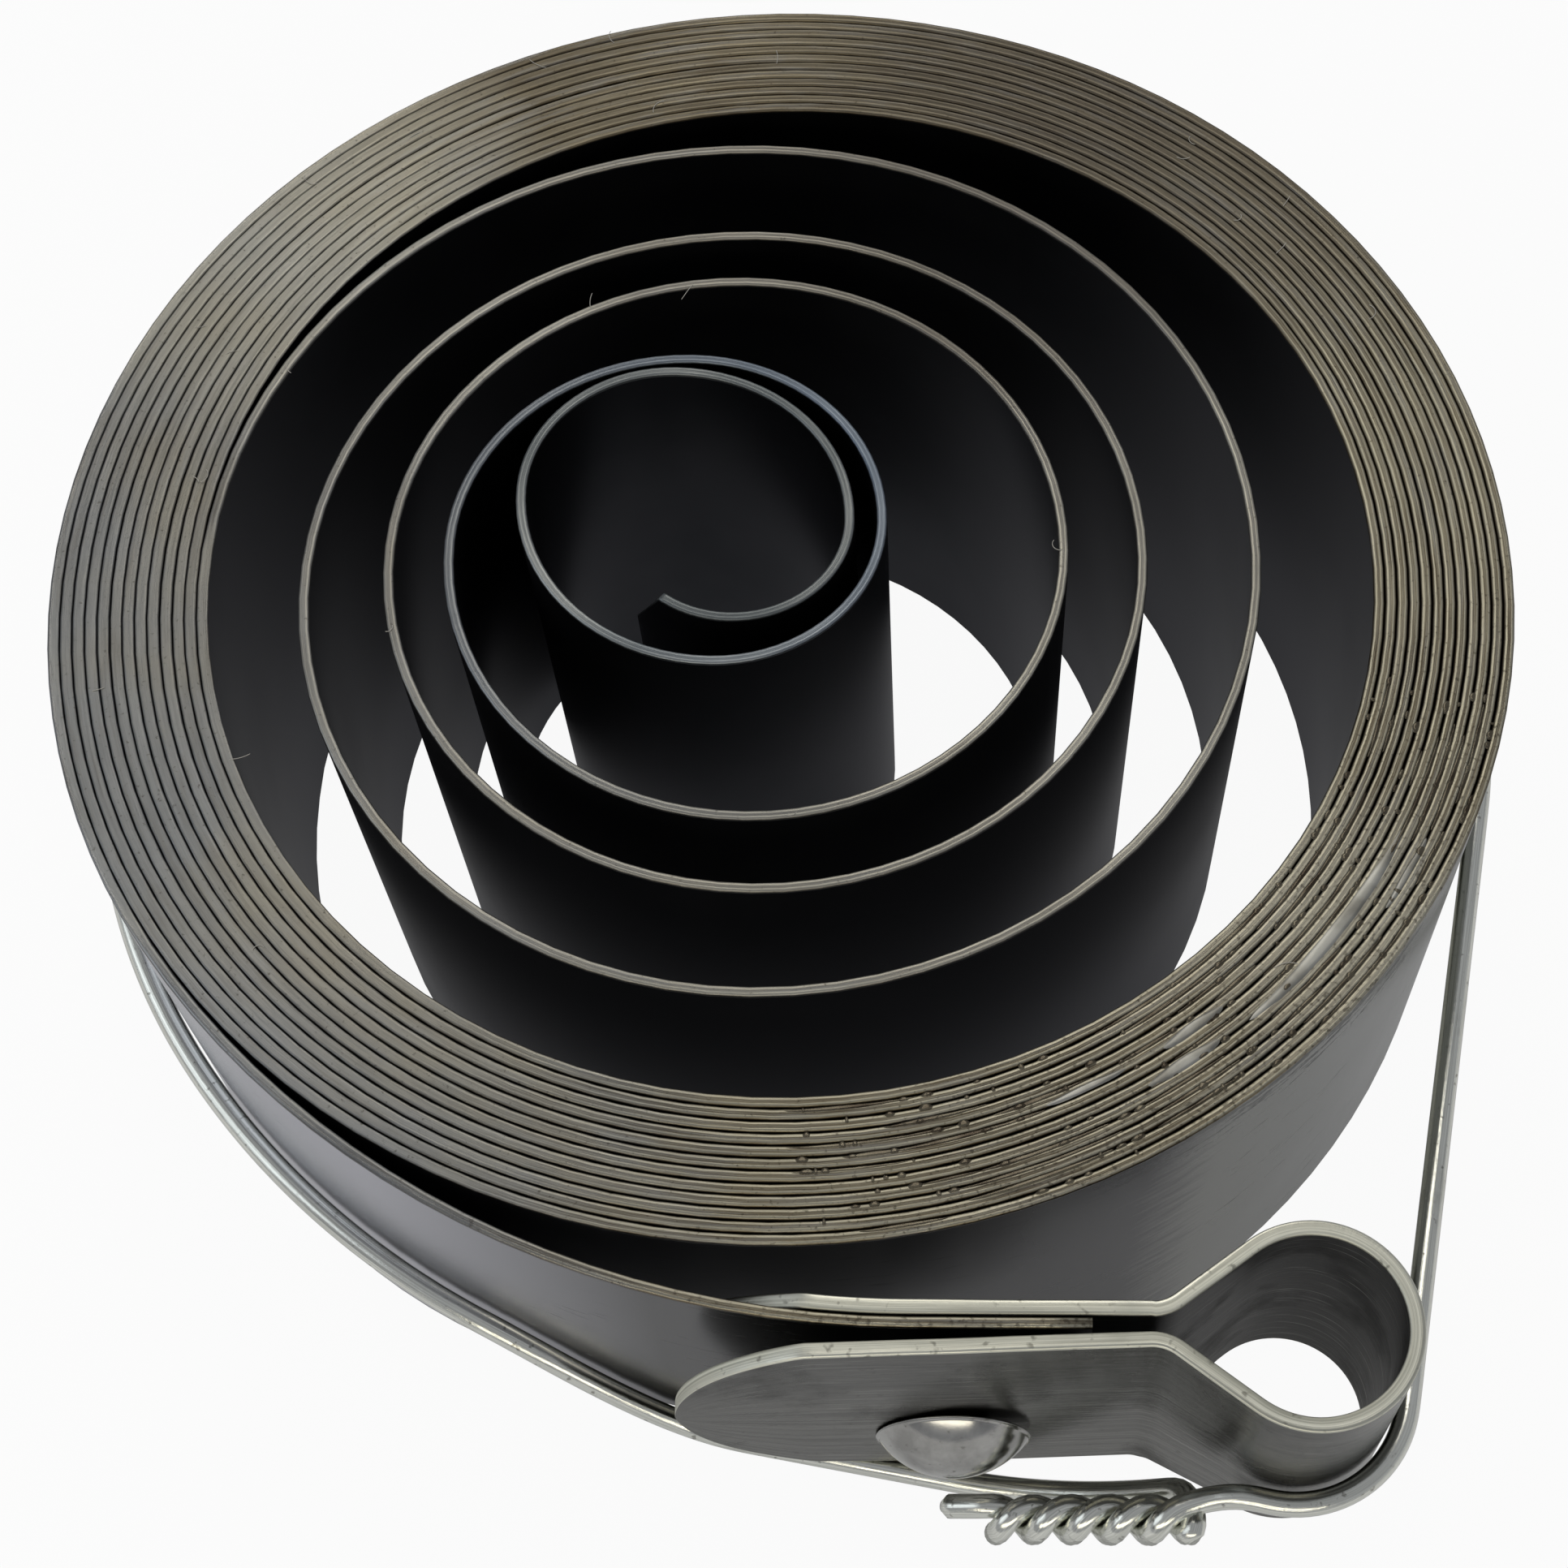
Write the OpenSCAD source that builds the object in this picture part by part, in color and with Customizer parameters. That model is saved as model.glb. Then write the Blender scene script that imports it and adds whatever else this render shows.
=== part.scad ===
// Clock mainspring with a riveted loop clip, wound up and tied with binding wire.
// Millimetres. The origin lies on the axis of the inner eye at the strip's mid-width.
// +Z is the coil's axis and +X runs along the straight outer end towards the loop.

/* [Strip] */
// Width of the strip, which is the height of the coil
strip_w = 19; // [12:0.5:26]
// Thickness of the strip
strip_t = 0.41; // [0.32:0.01:0.5]

/* [Eye] */
// Inner radius of the eye that grips the winding arbor
eye_r = 4; // [3:0.1:6]
// Angle at which the strip starts, counted from +X
eye_start = 212; // [195:1:250]
// Length of the cut on the two corners of the inner end
corner_run = 1.6; // [0.5:0.1:3]
// Height of the cut on the two corners of the inner end
corner_drop = 3; // [1:0.1:5]
// Width of the hook hole along the strip
hook_l = 3.2; // [2.6:0.1:4]
// Height of the hook hole across the strip
hook_h = 2.2; // [1.4:0.1:2.5]
// Distance of the hook hole from the inner end
hook_inset = 4.4; // [3.5:0.1:5.5]

/* [Loose turns] */
// Swell of the first turn's quarter bends over the eye
turn_1 = [2.1, 0.8, 2.7, 1.4]; // [0.6:0.1:3.2]
// Swell of the second turn's quarter bends over the eye
turn_2 = [2.3, 3.4, 6.2, 6.2]; // [2.2:0.1:7]
// Swell of the third turn's quarter bends over the eye
turn_3 = [6.7, 7, 8.3, 8.3]; // [6:0.1:9]
// Swell of the fourth turn's quarter bends over the eye
turn_4 = [8.9, 9.8, 10.9, 12]; // [8:0.1:13]
// Swell of the two quarter bends that lead into the pack
turn_5 = [12.6, 13.1]; // [12:0.1:14]

/* [Pack] */
// Swell of the innermost packed turn over the eye
pack_swell = 15.1; // [14:0.1:18]
// Number of turns that lie tight on each other
pack_turns = 12; // [6:1:16]
// Space between packed turns
pack_gap = 0.025; // [0.025:0.005:0.06]

/* [Outer end] */
// How much wider the outer end bends than the last packed turn
tail_lift = 5.7; // [5.3:0.1:6.4]
// Straight length at the outer end
end_len = 5.9; // [5.8:0.1:8]
// Width of the strip where the clip holds it
end_w = 13.5; // [12:0.5:16]
// Distance of the taper's start from the outer end
taper_from = 29.5; // [26:0.5:32]
// Length over which the lower edge rises
taper_run = 11; // [6:0.5:14]

/* [Loop clip] */
// Width of the sheet the clip is folded from
clip_w = 13.5; // [11:0.5:16]
// Thickness of the sheet
clip_t = 0.55; // [0.4:0.05:0.7]
// Inner radius of the loop that hangs on the post
loop_r = 3; // [2.5:0.1:3.6]
// Distance of the loop's axis from the strip's end
loop_reach = 7.2; // [6.8:0.1:9]
// Mid-line radius of the bends where the ears close on the strip
bend_r = 1.5; // [1:0.1:2]
// Length of each ear from its bend to its tip
ear_len = 15.7; // [14:0.1:18]
// How much the radius of the ears' round tips exceeds half the clip's width
tip_extra = 0.55; // [0.2:0.05:1.5]
// How far each ear's tip stands off the strip
ear_spread = 1; // [1:0.05:1.2]
// How far the sheet's lower edge rises towards the loop
loop_rise = 2; // [1:0.1:3]
// Space between an ear and the strip
ear_gap = 0.02; // [0.01:0.01:0.1]

/* [Rivet] */
// Diameter of the rivet's shank
rivet_d = 2.4; // [1.8:0.1:3]
// Distance of the rivet from the strip's end
rivet_inset = 4.4; // [3.5:0.1:5]
// Diameter of the domed head
head_d = 5.4; // [4.6:0.1:5.8]
// Height of the domed head
head_h = 1.4; // [0.8:0.1:1.6]
// Diameter of the flat tail
tail_d = 3.8; // [3.4:0.1:4.4]
// Height of the flat tail
tail_h = 0.5; // [0.3:0.05:0.6]
// Space round the shank in its holes
rivet_clear = 0.04; // [0.02:0.01:0.1]
// Space under the head and the tail
seat_gap = 0.01; // [0.01:0.01:0.05]

/* [Binding wire] */
// Diameter of the wire
wire_d = 0.9; // [0.7:0.05:1]
// Space between the wire and what it is drawn round
wire_gap = 0.06; // [0.05:0.01:0.15]
// Height of the wire round the coil, counted from the strip's mid-width
coil_level = -0.5; // [-2:0.1:1]
// Height of the wire round the loop, counted from the strip's mid-width
loop_level = 2.2; // [1.8:0.1:2.6]
// Height at which the front strand turns into its hook
hook_level = 0; // [-0.2:0.05:0.2]
// Height at which the twist begins
twist_level = 1.25; // [1.1:0.05:1.4]
// Distance of the twist's axis from the wire round the loop
twist_off = 1.66; // [1.6:0.02:1.8]
// Slope of the twist below the level
twist_drop = 29; // [26:1:32]
// Advance of the two twisted ends for each full twist
twist_pitch = 3; // [2.9:0.1:3.3]
// Number of full twists
twists = 2.5; // [1.5:0.25:3]
// Length of the straight stub after the twist
stub_len = 1.9; // [1:0.1:3]

/* [Hidden] */
$fn = 96;
mid_t = strip_t / 2;

// Mid-line radius of a bend that lies over a number of turns
function bend(swell, under) = eye_r + swell + (under + 0.5) * strip_t;
loose = [turn_1, turn_2, turn_3, turn_4, turn_5];
quarters = [for (k = [0 : 4]) for (s = loose[k]) bend(s, k + 1)];
halves = [for (i = [0 : 2 * pack_turns]) bend(pack_swell, 5) + i * (strip_t + pack_gap) / 2];
wound = concat([bend(0, 0)], quarters, halves);
last = len(wound);
radii = concat(wound, [wound[last - 1] + tail_lift]);
quarter_starts = [for (i = [0 : len(quarters) - 1]) (90 * i) % 360];
half_starts = [for (i = [0 : 2 * pack_turns]) i % 2 == 0 ? 180 : 0];
half_sweeps = [for (i = [0 : 2 * pack_turns]) i < 2 * pack_turns ? 180 : 90];
starts = concat([eye_start], quarter_starts, half_starts, [180]);
sweeps = concat([360 - eye_start], [for (r = quarters) 90], half_sweeps, [90]);

// The outer end leaves the pack, and the clip's flanks slope, 3 in 4, so that these bends meet on exact points
run = 0.8;
rise = 0.6;

// Centre of each bend, so that it leaves the one before without a kink
function leaves(k) = k == last ? [-run, -rise] : [cos(starts[k]), sin(starts[k])];
function centre(k) = k == 0 ? [0, 0] : centre(k - 1) + (radii[k - 1] - radii[k]) * leaves(k);
pack_c = centre(last - 2);
lead_c = centre(last - 1);
tail_c = centre(last);
line_y = tail_c.y - radii[last];
end_x = tail_c.x + end_len;

loop_c = [end_x + loop_reach, line_y];
loop_m = loop_r + clip_t / 2;
ear_y = mid_t + ear_gap + clip_t / 2;
flank = (run * loop_m - ear_y - (1 - run) * bend_r) / rise;
bend_x = -rise * loop_m - run * flank - rise * bend_r;
bend_y = ear_y + bend_r;
rivet_x = end_x - rivet_inset;
tip_x = bend_x - ear_len;
clip_z = strip_w / 2 - clip_w;
tip_r = clip_w / 2 + tip_extra;
rise_run = 2.6;
ear_slope = ear_spread / ear_len;
ear_face = ear_y + clip_t / 2 + ear_slope * (bend_x + loop_c.x - rivet_x + head_d / 2);

// The wire is drawn round the tail, the pack and the loop, and passes under the ears
wire_r = wire_d / 2;
under = clip_z - wire_gap - wire_r;
stand = mid_t + wire_gap + wire_r;
tail_ring = radii[last] + stand;
lead_ring = radii[last - 1] + stand;
pack_ring = radii[last - 2] + stand;
loop_ring = loop_r + clip_t + wire_gap + wire_r;
helix_r = wire_r * 1.09;

function unit(v) = v / norm(v);
function polar(c, r, a, z) = [c.x + r * cos(a), c.y + r * sin(a), z];
function ease(t) = t * t * (3 - 2 * t);
// Cubic between two points with the given slopes
function blend(p, m, q, n, t) = (2 * t^3 - 3 * t^2 + 1) * p + (t^3 - 2 * t^2 + t) * m
    + (3 * t^2 - 2 * t^3) * q + (t^3 - t^2) * n;

// The front strand leaves the tail on a tangent and climbs to the hook beside the loop
hook_p = polar(loop_c, loop_ring + 0.82, -142, hook_level);
from_tail = [hook_p.x - tail_c.x, hook_p.y - tail_c.y];
from_pack = loop_c - pack_c;
front_a = atan2(from_tail.y, from_tail.x) - acos(tail_ring / norm(from_tail));
right_a = atan2(from_pack.y, from_pack.x) + acos((pack_ring - loop_ring) / norm(from_pack));
strand_low = polar(tail_c, tail_ring, front_a, under);
function front_strand(t) = let (p = strand_low + t * (hook_p - strand_low))
    [p.x, p.y, under + (hook_level - under) * max(0, 2 * t - 1)^2];

// The two free ends are twisted together round an axis that slopes down in front of the strand
axis_p = polar(loop_c, loop_ring + twist_off, -130.5, twist_level);
axis_dir = [-cos(twist_drop) * cos(7.5), cos(twist_drop) * sin(7.5), -sin(twist_drop)];
axis_side = unit(cross([0, 0, 1], axis_dir));
axis_up = cross(axis_dir, axis_side);
twist_len = twists * twist_pitch;
function strand(s, phase) = axis_p + s * axis_dir
    + helix_r * (cos(phase + 360 * s / twist_pitch) * axis_side + sin(phase + 360 * s / twist_pitch) * axis_up);
function strand_slope(phase) = unit(strand(0.01, phase) - strand(-0.01, phase));

function wire_path(steps = 44) = let (
        in_phase = 323,
        out_phase = 143,
        leave_a = -106,
        lead_a = atan2(-rise, -run),
        hook_slope = unit(front_strand(1) - front_strand(0.98)),
        leave_p = polar(loop_c, loop_ring, leave_a, loop_level),
        leave_slope = [sin(leave_a), -cos(leave_a), 0]
    ) concat(
        [for (i = [3 : -1 : 1]) strand(twist_len, in_phase) + i * stub_len / 3 * axis_dir],
        [for (i = [steps : -1 : 1]) strand(i * twist_len / steps, in_phase)],
        [for (i = [0 : 14])
            blend(strand(0, in_phase), -4.2 * strand_slope(in_phase), hook_p, -2.4 * hook_slope, i / 15)],
        [for (i = [0 : 15]) front_strand(1 - i / 16)],
        [for (i = [0 : 20]) polar(tail_c, tail_ring, front_a + (lead_a - front_a) * i / 20,
            under + (coil_level - under) * ease(min(i / 8, 1)))],
        [for (i = [1 : 10]) polar(lead_c, lead_ring, lead_a - (180 + lead_a) * i / 10, coil_level)],
        [for (i = [1 : 42]) polar(pack_c, pack_ring, 180 + (right_a - 180) * i / 42, coil_level)],
        [for (i = [0 : 14]) polar(loop_c, loop_ring, right_a + (leave_a - right_a) * i / 14, loop_level)],
        [for (i = [1 : 14])
            blend(leave_p, 3.1 * leave_slope, strand(0, out_phase), 2.7 * strand_slope(out_phase), i / 15)],
        [for (i = [0 : steps]) strand(i * twist_len / steps, out_phase)]
    );

// Round bar along a list of points
module tube(path, r, sides = 10) {
    n = len(path);
    ahead = [for (i = [0 : n - 1]) unit(path[min(i + 1, n - 1)] - path[max(i - 1, 0)])];
    side = [for (i = [0 : n - 1]) unit(cross([0, 0, 1], ahead[i]))];
    up = [for (i = [0 : n - 1]) cross(ahead[i], side[i])];
    rim = [for (i = [0 : n - 1]) for (j = [0 : sides - 1])
        path[i] + r * (cos(360 * j / sides) * side[i] + sin(360 * j / sides) * up[i])];
    wall = [for (i = [0 : n - 2]) for (j = [0 : sides - 1])
        [i * sides + j, (i + 1) * sides + j, (i + 1) * sides + (j + 1) % sides, i * sides + (j + 1) % sides]];
    caps = [
        [for (j = [0 : sides - 1]) j],
        [for (j = [sides - 1 : -1 : 0]) (n - 1) * sides + j]
    ];
    polyhedron(rim, concat(wall, caps), 4);
}

// Flat strip, seen along its length
module section() {
    square([strip_t, strip_w], center = true);
}

// One bend of the spiral
module strip_bend(k) {
    translate([centre(k).x, centre(k).y, 0])
        rotate_extrude(angle = sweeps[k], start = starts[k])
            translate([radii[k], 0])
                section();
}

// The side of the line on which the outer end has left the pack
module past_pack() {
    translate([lead_c.x, lead_c.y, 0])
        linear_extrude(strip_w + 2, center = true)
            polygon([
                10 * [-run, -rise],
                45 * [-run, -rise],
                45 * [-run, -rise] + 40 * [rise, -run],
                10 * [-run, -rise] + 40 * [rise, -run]
            ]);
}

// The inner end: corners cut on a slope, and the slot for the arbor's hook
module inner_end() {
    difference() {
        strip_bend(0);
        for (s = [-1, 1])
            rotate([0, 0, eye_start])
                translate([eye_r - 1, 0, 0])
                    rotate([90, 0, 90])
                        linear_extrude(strip_t + 2)
                            polygon([
                                [-1, s * (strip_w / 2 + 1)],
                                [corner_run * (corner_drop + 1) / corner_drop, s * (strip_w / 2 + 1)],
                                [0, s * (strip_w / 2 - corner_drop)],
                                [-1, s * (strip_w / 2 - corner_drop)]
                            ]);
        rotate([0, 0, eye_start + hook_inset / radii[0] * 180 / PI])
            translate([eye_r - 1, 0, 0])
                rotate([90, 0, 90])
                    linear_extrude(strip_t + 2) {
                        square([hook_l - hook_h, hook_h], center = true);
                        for (x = [-1, 1])
                            translate([x * (hook_l - hook_h) / 2, 0])
                                circle(d = hook_h);
                    }
    }
}

// The outer end: one wide bend and a straight, narrowed from below and holed for the rivet
module outer_end() {
    difference() {
        union() {
            intersection() {
                strip_bend(last);
                past_pack();
            }
            translate([tail_c.x, line_y, 0])
                rotate([90, 0, 90])
                    linear_extrude(end_len)
                        section();
        }
        translate([end_x, tail_c.y, 0])
            rotate([90, 0, 0])
                linear_extrude(radii[last] + 2)
                    polygon([
                        [-taper_from, -strip_w / 2 - 1],
                        [-taper_from, -strip_w / 2],
                        [taper_run - taper_from, strip_w / 2 - end_w],
                        [1, strip_w / 2 - end_w],
                        [1, -strip_w / 2 - 1]
                    ]);
        translate([rivet_x, line_y, 0])
            rotate([90, 0, 0])
                cylinder(h = strip_t + 2, d = rivet_d + 2 * rivet_clear, center = true);
    }
}

module spring_strip() {
    color([0.36, 0.34, 0.30]) {
        inner_end();
        for (k = [1 : last - 2])
            strip_bend(k);
        difference() {
            strip_bend(last - 1);
            past_pack();
        }
        outer_end();
    }
}

// Half of the clip's folded line: flank, bend and ear
module clip_side() {
    polygon([
        loop_r * [-rise, run],
        (loop_r + clip_t) * [-rise, run],
        (loop_r + clip_t) * [-rise, run] - flank * [run, rise],
        loop_r * [-rise, run] - flank * [run, rise]
    ]);
    translate([bend_x, bend_y])
        intersection() {
            difference() {
                circle(bend_r + clip_t / 2);
                circle(bend_r - clip_t / 2);
            }
            polygon([[0, 0], 3 * bend_r * [rise, -run], [0, -3 * bend_r]]);
        }
    polygon([
        [bend_x, ear_y - clip_t / 2],
        [bend_x, ear_y + clip_t / 2],
        [tip_x, ear_y + clip_t / 2 + ear_spread],
        [tip_x, ear_y - clip_t / 2 + ear_spread]
    ]);
}

module loop_clip() {
    color([0.76, 0.75, 0.68])
        translate([loop_c.x, loop_c.y, clip_z])
            difference() {
                linear_extrude(clip_w) {
                    difference() {
                        circle(loop_r + clip_t);
                        circle(loop_r);
                        polygon([[0, 0], 9 * [-rise, run], [-9, 0], 9 * [-rise, -run]]);
                    }
                    clip_side();
                    mirror([0, 1])
                        clip_side();
                }
                // round tips of the ears
                translate([tip_x + tip_r, 0, clip_w / 2])
                    rotate([90, 0, 0])
                        linear_extrude(8, center = true)
                            difference() {
                                translate([-tip_r - 1, -clip_w / 2 - 1])
                                    square([tip_r + 1, clip_w + 2]);
                                circle(tip_r);
                            }
                // lower edge that rises towards the loop
                rotate([90, 0, 0])
                    linear_extrude(20, center = true)
                        polygon([
                            [bend_x + 0.5 - rise_run / loop_rise, -1],
                            [bend_x + 0.5 + rise_run, loop_rise],
                            [9, loop_rise],
                            [9, -1]
                        ]);
                // rivet hole through both ears
                translate([rivet_x - loop_c.x, 0, -clip_z])
                    rotate([90, 0, 0])
                        cylinder(h = 8, d = rivet_d + 2 * rivet_clear, center = true);
            }
}

module rivet() {
    top = ear_face + seat_gap;
    dome_r = (head_d^2 / 4 + head_h^2) / (2 * head_h);
    color([0.62, 0.61, 0.55])
        translate([rivet_x, line_y, 0])
            rotate([90, 0, 0])
                rotate_extrude() {
                    translate([0, -top])
                        square([rivet_d / 2, 2 * top]);
                    intersection() {
                        translate([0, top + head_h - dome_r])
                            circle(dome_r);
                        translate([0, top])
                            square([head_d, head_h + 1]);
                    }
                    translate([0, -top - tail_h])
                        square([tail_d / 2, tail_h]);
                }
}

module binding_wire() {
    color([0.78, 0.77, 0.70])
        tube(wire_path(), wire_r);
}

spring_strip();
loop_clip();
rivet();
binding_wire();
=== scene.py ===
"""Clock mainspring, wound and tied: the picture's pieces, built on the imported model's frame.

The pieces' sizes are in millimetres, and MM turns them into metres as each mesh is made. The finishes read
metres.
"""
import bpy
import numpy as np
from mathutils import Matrix


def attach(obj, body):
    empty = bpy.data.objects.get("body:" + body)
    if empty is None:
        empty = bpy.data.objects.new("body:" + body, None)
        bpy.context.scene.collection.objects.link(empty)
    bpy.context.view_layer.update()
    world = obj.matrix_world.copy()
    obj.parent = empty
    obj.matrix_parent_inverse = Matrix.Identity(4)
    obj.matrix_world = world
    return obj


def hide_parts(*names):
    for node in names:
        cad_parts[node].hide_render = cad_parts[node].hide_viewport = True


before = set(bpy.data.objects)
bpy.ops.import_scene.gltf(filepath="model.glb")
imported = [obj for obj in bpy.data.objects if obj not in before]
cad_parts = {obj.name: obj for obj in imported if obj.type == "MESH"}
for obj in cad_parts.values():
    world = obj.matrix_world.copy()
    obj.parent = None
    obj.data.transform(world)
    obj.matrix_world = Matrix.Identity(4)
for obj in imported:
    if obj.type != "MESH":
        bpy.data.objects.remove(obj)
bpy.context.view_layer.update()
MM = 0.001

# Sizes that the solids have too
STRIP_W = 19.0
STRIP_T = 0.41
PACK_GAP = 0.025
PACK_TURNS = 12
EYE_R = 4.0
EYE_START = 212.0
SWELL = [
    [2.1, 0.8, 2.7, 1.4],
    [2.3, 3.4, 6.2, 6.2],
    [6.7, 7.0, 8.3, 8.3],
    [8.9, 9.8, 10.9, 12.0],
    [12.6, 13.1],
]
PACK_SWELL = 15.1
TAIL_LIFT = 5.7
END_LEN = 5.9
END_W = 13.5
TAPER_FROM = 29.5
TAPER_RUN = 11.0
CORNER_RUN = 1.6
CORNER_DROP = 3.0
CLIP_W = 13.5
CLIP_T = 0.55
LOOP_R = 3.0
LOOP_REACH = 7.2
BEND_R = 1.5
EAR_LEN = 15.7
TIP_EXTRA = 0.55
LOOP_RISE = 2.0
RISE_RUN = 2.6
EAR_GAP = 0.02
RIVET_D = 2.4
RIVET_INSET = 4.4
HEAD_D = 5.4
HEAD_H = 1.4
TAIL_D = 3.8
TAIL_H = 0.5
SEAT_GAP = 0.01
WIRE_D = 0.9
WIRE_GAP = 0.06
COIL_LEVEL = -0.5
LOOP_LEVEL = 2.2
HOOK_LEVEL = 0.0
TWIST_LEVEL = 1.25
TWIST_OFF = 1.66
TWIST_DROP = 29.0
TWIST_PITCH = 3.0
TWISTS = 2.5
STUB_LEN = 1.9
JOINT = 36.8699
FLOOR_Z = -STRIP_W / 2

# Sizes of this model alone: the ears as they lie in the picture, rounded edges, thickness of the turns,
# and what its rows, poles, lint and bumps need
FRONT_SPREAD = 0.65
TIP_LIFT = 0.8
REAR_GAP = 0.03
STRIP_EDGE_R = 0.105
CLIP_EDGE_R = 0.09
CLIP_TRIM = 0.03
PACK_T = 0.39
PACK_T_MORE = 0.03
LOOSE_T = 0.385
WIRE_TRIM = 0.012
POLE_R = 0.001
PATH_STEP = 1.5
LINT_R = 0.013
BUMP_DEPTH = 0.03 * MM


def sind(a):
    """Sine of an angle in degrees."""
    return np.sin(np.radians(a))


def cosd(a):
    """Cosine of an angle in degrees."""
    return np.cos(np.radians(a))


def unit(v):
    """Vectors scaled to length one along the last axis."""
    return v / np.linalg.norm(v, axis=-1, keepdims=True)


def run_along(line):
    """Length run along a line of points, from zero at its first point."""
    return np.concatenate([[0], np.cumsum(np.linalg.norm(np.diff(line, axis=0), axis=1))])


def smooth_noise(x, scale, seed):
    """Sum of six sine waves with random phases: a smooth wobble of about unit size over the length scale."""
    r = np.random.default_rng(seed)
    k = 2 * np.pi / scale * r.uniform(0.4, 1.6, 6)
    p = r.uniform(0, 2 * np.pi, 6)
    return np.sin(x[..., None] * k + p).sum(-1) / 3.0


class Bends:
    """The spiral's chain of arcs.

    Each arc leaves the one before without a kink, so its centre lies on the normal that they share.
    """

    def __init__(self):
        swell = [(s, k + 1) for k, turn in enumerate(SWELL) for s in turn]
        quarters = [EYE_R + s + (k + 0.5) * STRIP_T for s, k in swell]
        first = EYE_R + PACK_SWELL + 5.5 * STRIP_T
        halves = [first + i * (STRIP_T + PACK_GAP) / 2 for i in range(2 * PACK_TURNS + 1)]
        wound = [EYE_R + STRIP_T / 2] + quarters + halves
        self.first_packed = 1 + len(quarters)
        self.last = len(wound)
        self.r = np.array(wound + [wound[-1] + TAIL_LIFT])
        half_starts = [180.0 * (1 - i % 2) for i in range(2 * PACK_TURNS + 1)]
        quarter_starts = [90.0 * i % 360 for i in range(len(quarters))]
        self.start = np.array([EYE_START] + quarter_starts + half_starts + [180 + JOINT])
        half_sweeps = [180.0] * (2 * PACK_TURNS) + [JOINT]
        self.sweep = np.array([360 - EYE_START] + [90.0] * len(quarters) + half_sweeps + [90 - JOINT])
        step = -np.diff(self.r)[:, None] * np.stack([cosd(self.start[1:]), sind(self.start[1:])], 1)
        self.c = np.concatenate([np.zeros((1, 2)), np.cumsum(step, 0)])


bends = Bends()
PACK_C = bends.c[bends.last - 2]
LEAD_C = bends.c[bends.last - 1]
TAIL_C = bends.c[bends.last]
TAIL_R = bends.r[bends.last]
PACK_R = bends.r[bends.last - 2]
LEAD_R = bends.r[bends.last - 1]
LINE_Y = TAIL_C[1] - TAIL_R
END_X = TAIL_C[0] + END_LEN
LOOP_C = np.array([END_X + LOOP_REACH, LINE_Y])
RIVET_X = END_X - RIVET_INSET
EAR_Y = STRIP_T / 2 + EAR_GAP + CLIP_T / 2
LOOP_MID = LOOP_R + CLIP_T / 2
FLANK = (0.8 * LOOP_MID - EAR_Y - 0.2 * BEND_R) / 0.6
BEND_X = -0.6 * LOOP_MID - 0.8 * FLANK - 0.6 * BEND_R
EAR_FACE = EAR_Y + CLIP_T / 2 + FRONT_SPREAD / EAR_LEN * (BEND_X + LOOP_C[0] - RIVET_X + HEAD_D / 2)
REAR_FACE = EAR_Y + REAR_GAP + CLIP_T / 2
CLIP_LOW = STRIP_W / 2 - CLIP_W


def grid_quads(n, m):
    """Quads between the neighbours of a grid of n rows and m columns, closed round the columns."""
    i = np.arange(n - 1)[:, None] * m
    j = np.arange(m)[None, :]
    j2 = (j + 1) % m
    return np.stack([i + j, i + j2, i + m + j2, i + m + j], -1).reshape(-1, 4)


def add_piece(name, points, faces, smooth):
    """A mesh object at the origin from points in millimetres, its first faces smooth, as many as said."""
    mesh = bpy.data.meshes.new(name)
    mesh.from_pydata((points.reshape(-1, 3) * MM).tolist(), [], faces)
    mesh.polygons.foreach_set("use_smooth", np.arange(len(mesh.polygons)) < smooth)
    obj = bpy.data.objects.new(name, mesh)
    bpy.context.scene.collection.objects.link(obj)
    return obj


def grid_object(name, points, uv=None, marks=None):
    """Piece from a grid of points, rows along and columns across.

    Quads join neighbours, and a flat cap closes each end. uv is a grid of two numbers a point, and marks
    maps attribute names to one number a point.
    """
    n, m = points.shape[:2]
    quads = grid_quads(n, m)
    caps = [list(range(m))[::-1], list(range((n - 1) * m, n * m))]
    obj = add_piece(name, points, quads.tolist() + caps, len(quads))
    mesh = obj.data
    corner = np.empty(len(mesh.loops), np.int32)
    mesh.loops.foreach_get("vertex_index", corner)
    if uv is None:
        uv = np.stack(np.meshgrid(np.arange(n) / n, np.arange(m) / m, indexing="ij"), -1)
    layer = mesh.uv_layers.new(name="UVMap")
    layer.data.foreach_set("uv", uv.reshape(-1, 2)[corner].astype(np.float32).ravel())
    for key, values in (marks or {}).items():
        attribute = mesh.attributes.new(key, "FLOAT", "POINT")
        attribute.data.foreach_set("value", np.asarray(values, np.float32).ravel())
    mesh.validate()
    return obj


def many_grids(name, points):
    """One piece of many like grids: points has the axes grid, row, column and coordinate."""
    count, n, m = points.shape[:3]
    faces = (grid_quads(n, m)[None] + (np.arange(count) * n * m)[:, None, None]).reshape(-1, 4)
    obj = add_piece(name, points, faces.tolist(), len(faces))
    obj.data.validate()
    return obj


def upright_bar(plan, normal, off, level):
    """Points of a bar standing along a plan line: each lies off along the normal, at its own level."""
    points = np.empty(level.shape + (3,))
    points[..., :2] = plan[:, None, :] + normal[:, None, :] * off[..., None]
    points[..., 2] = level
    return points


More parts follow.
